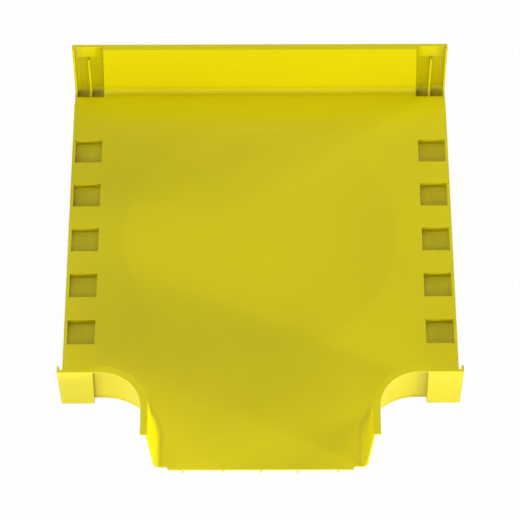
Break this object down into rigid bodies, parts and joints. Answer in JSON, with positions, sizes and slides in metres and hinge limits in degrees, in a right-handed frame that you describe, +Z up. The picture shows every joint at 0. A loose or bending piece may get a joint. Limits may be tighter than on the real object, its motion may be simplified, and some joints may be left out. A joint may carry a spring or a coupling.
{
  "type": "cable tray tee",
  "caption": "Moulded cable tray tee: a straight trough with a side branch, rounded corners, an outward rim and pockets at the run ends for joining plates.",
  "frame": {"origin": "crossing of the run's and the branch's centre lines, on the plane that the underside ribs rest on", "axes": "+X along the run, the branch leaves towards -Y, +Z up out of the open trough"},
  "size_m": [0.6404, 0.7664, 0.1142],
  "materials": {
    "yellow_plastic": "satin moulded plastic, bright yellow, even"
  },
  "bodies": {
    "root": {"tee_body": "yellow_plastic"}
  },
  "joints": []
}
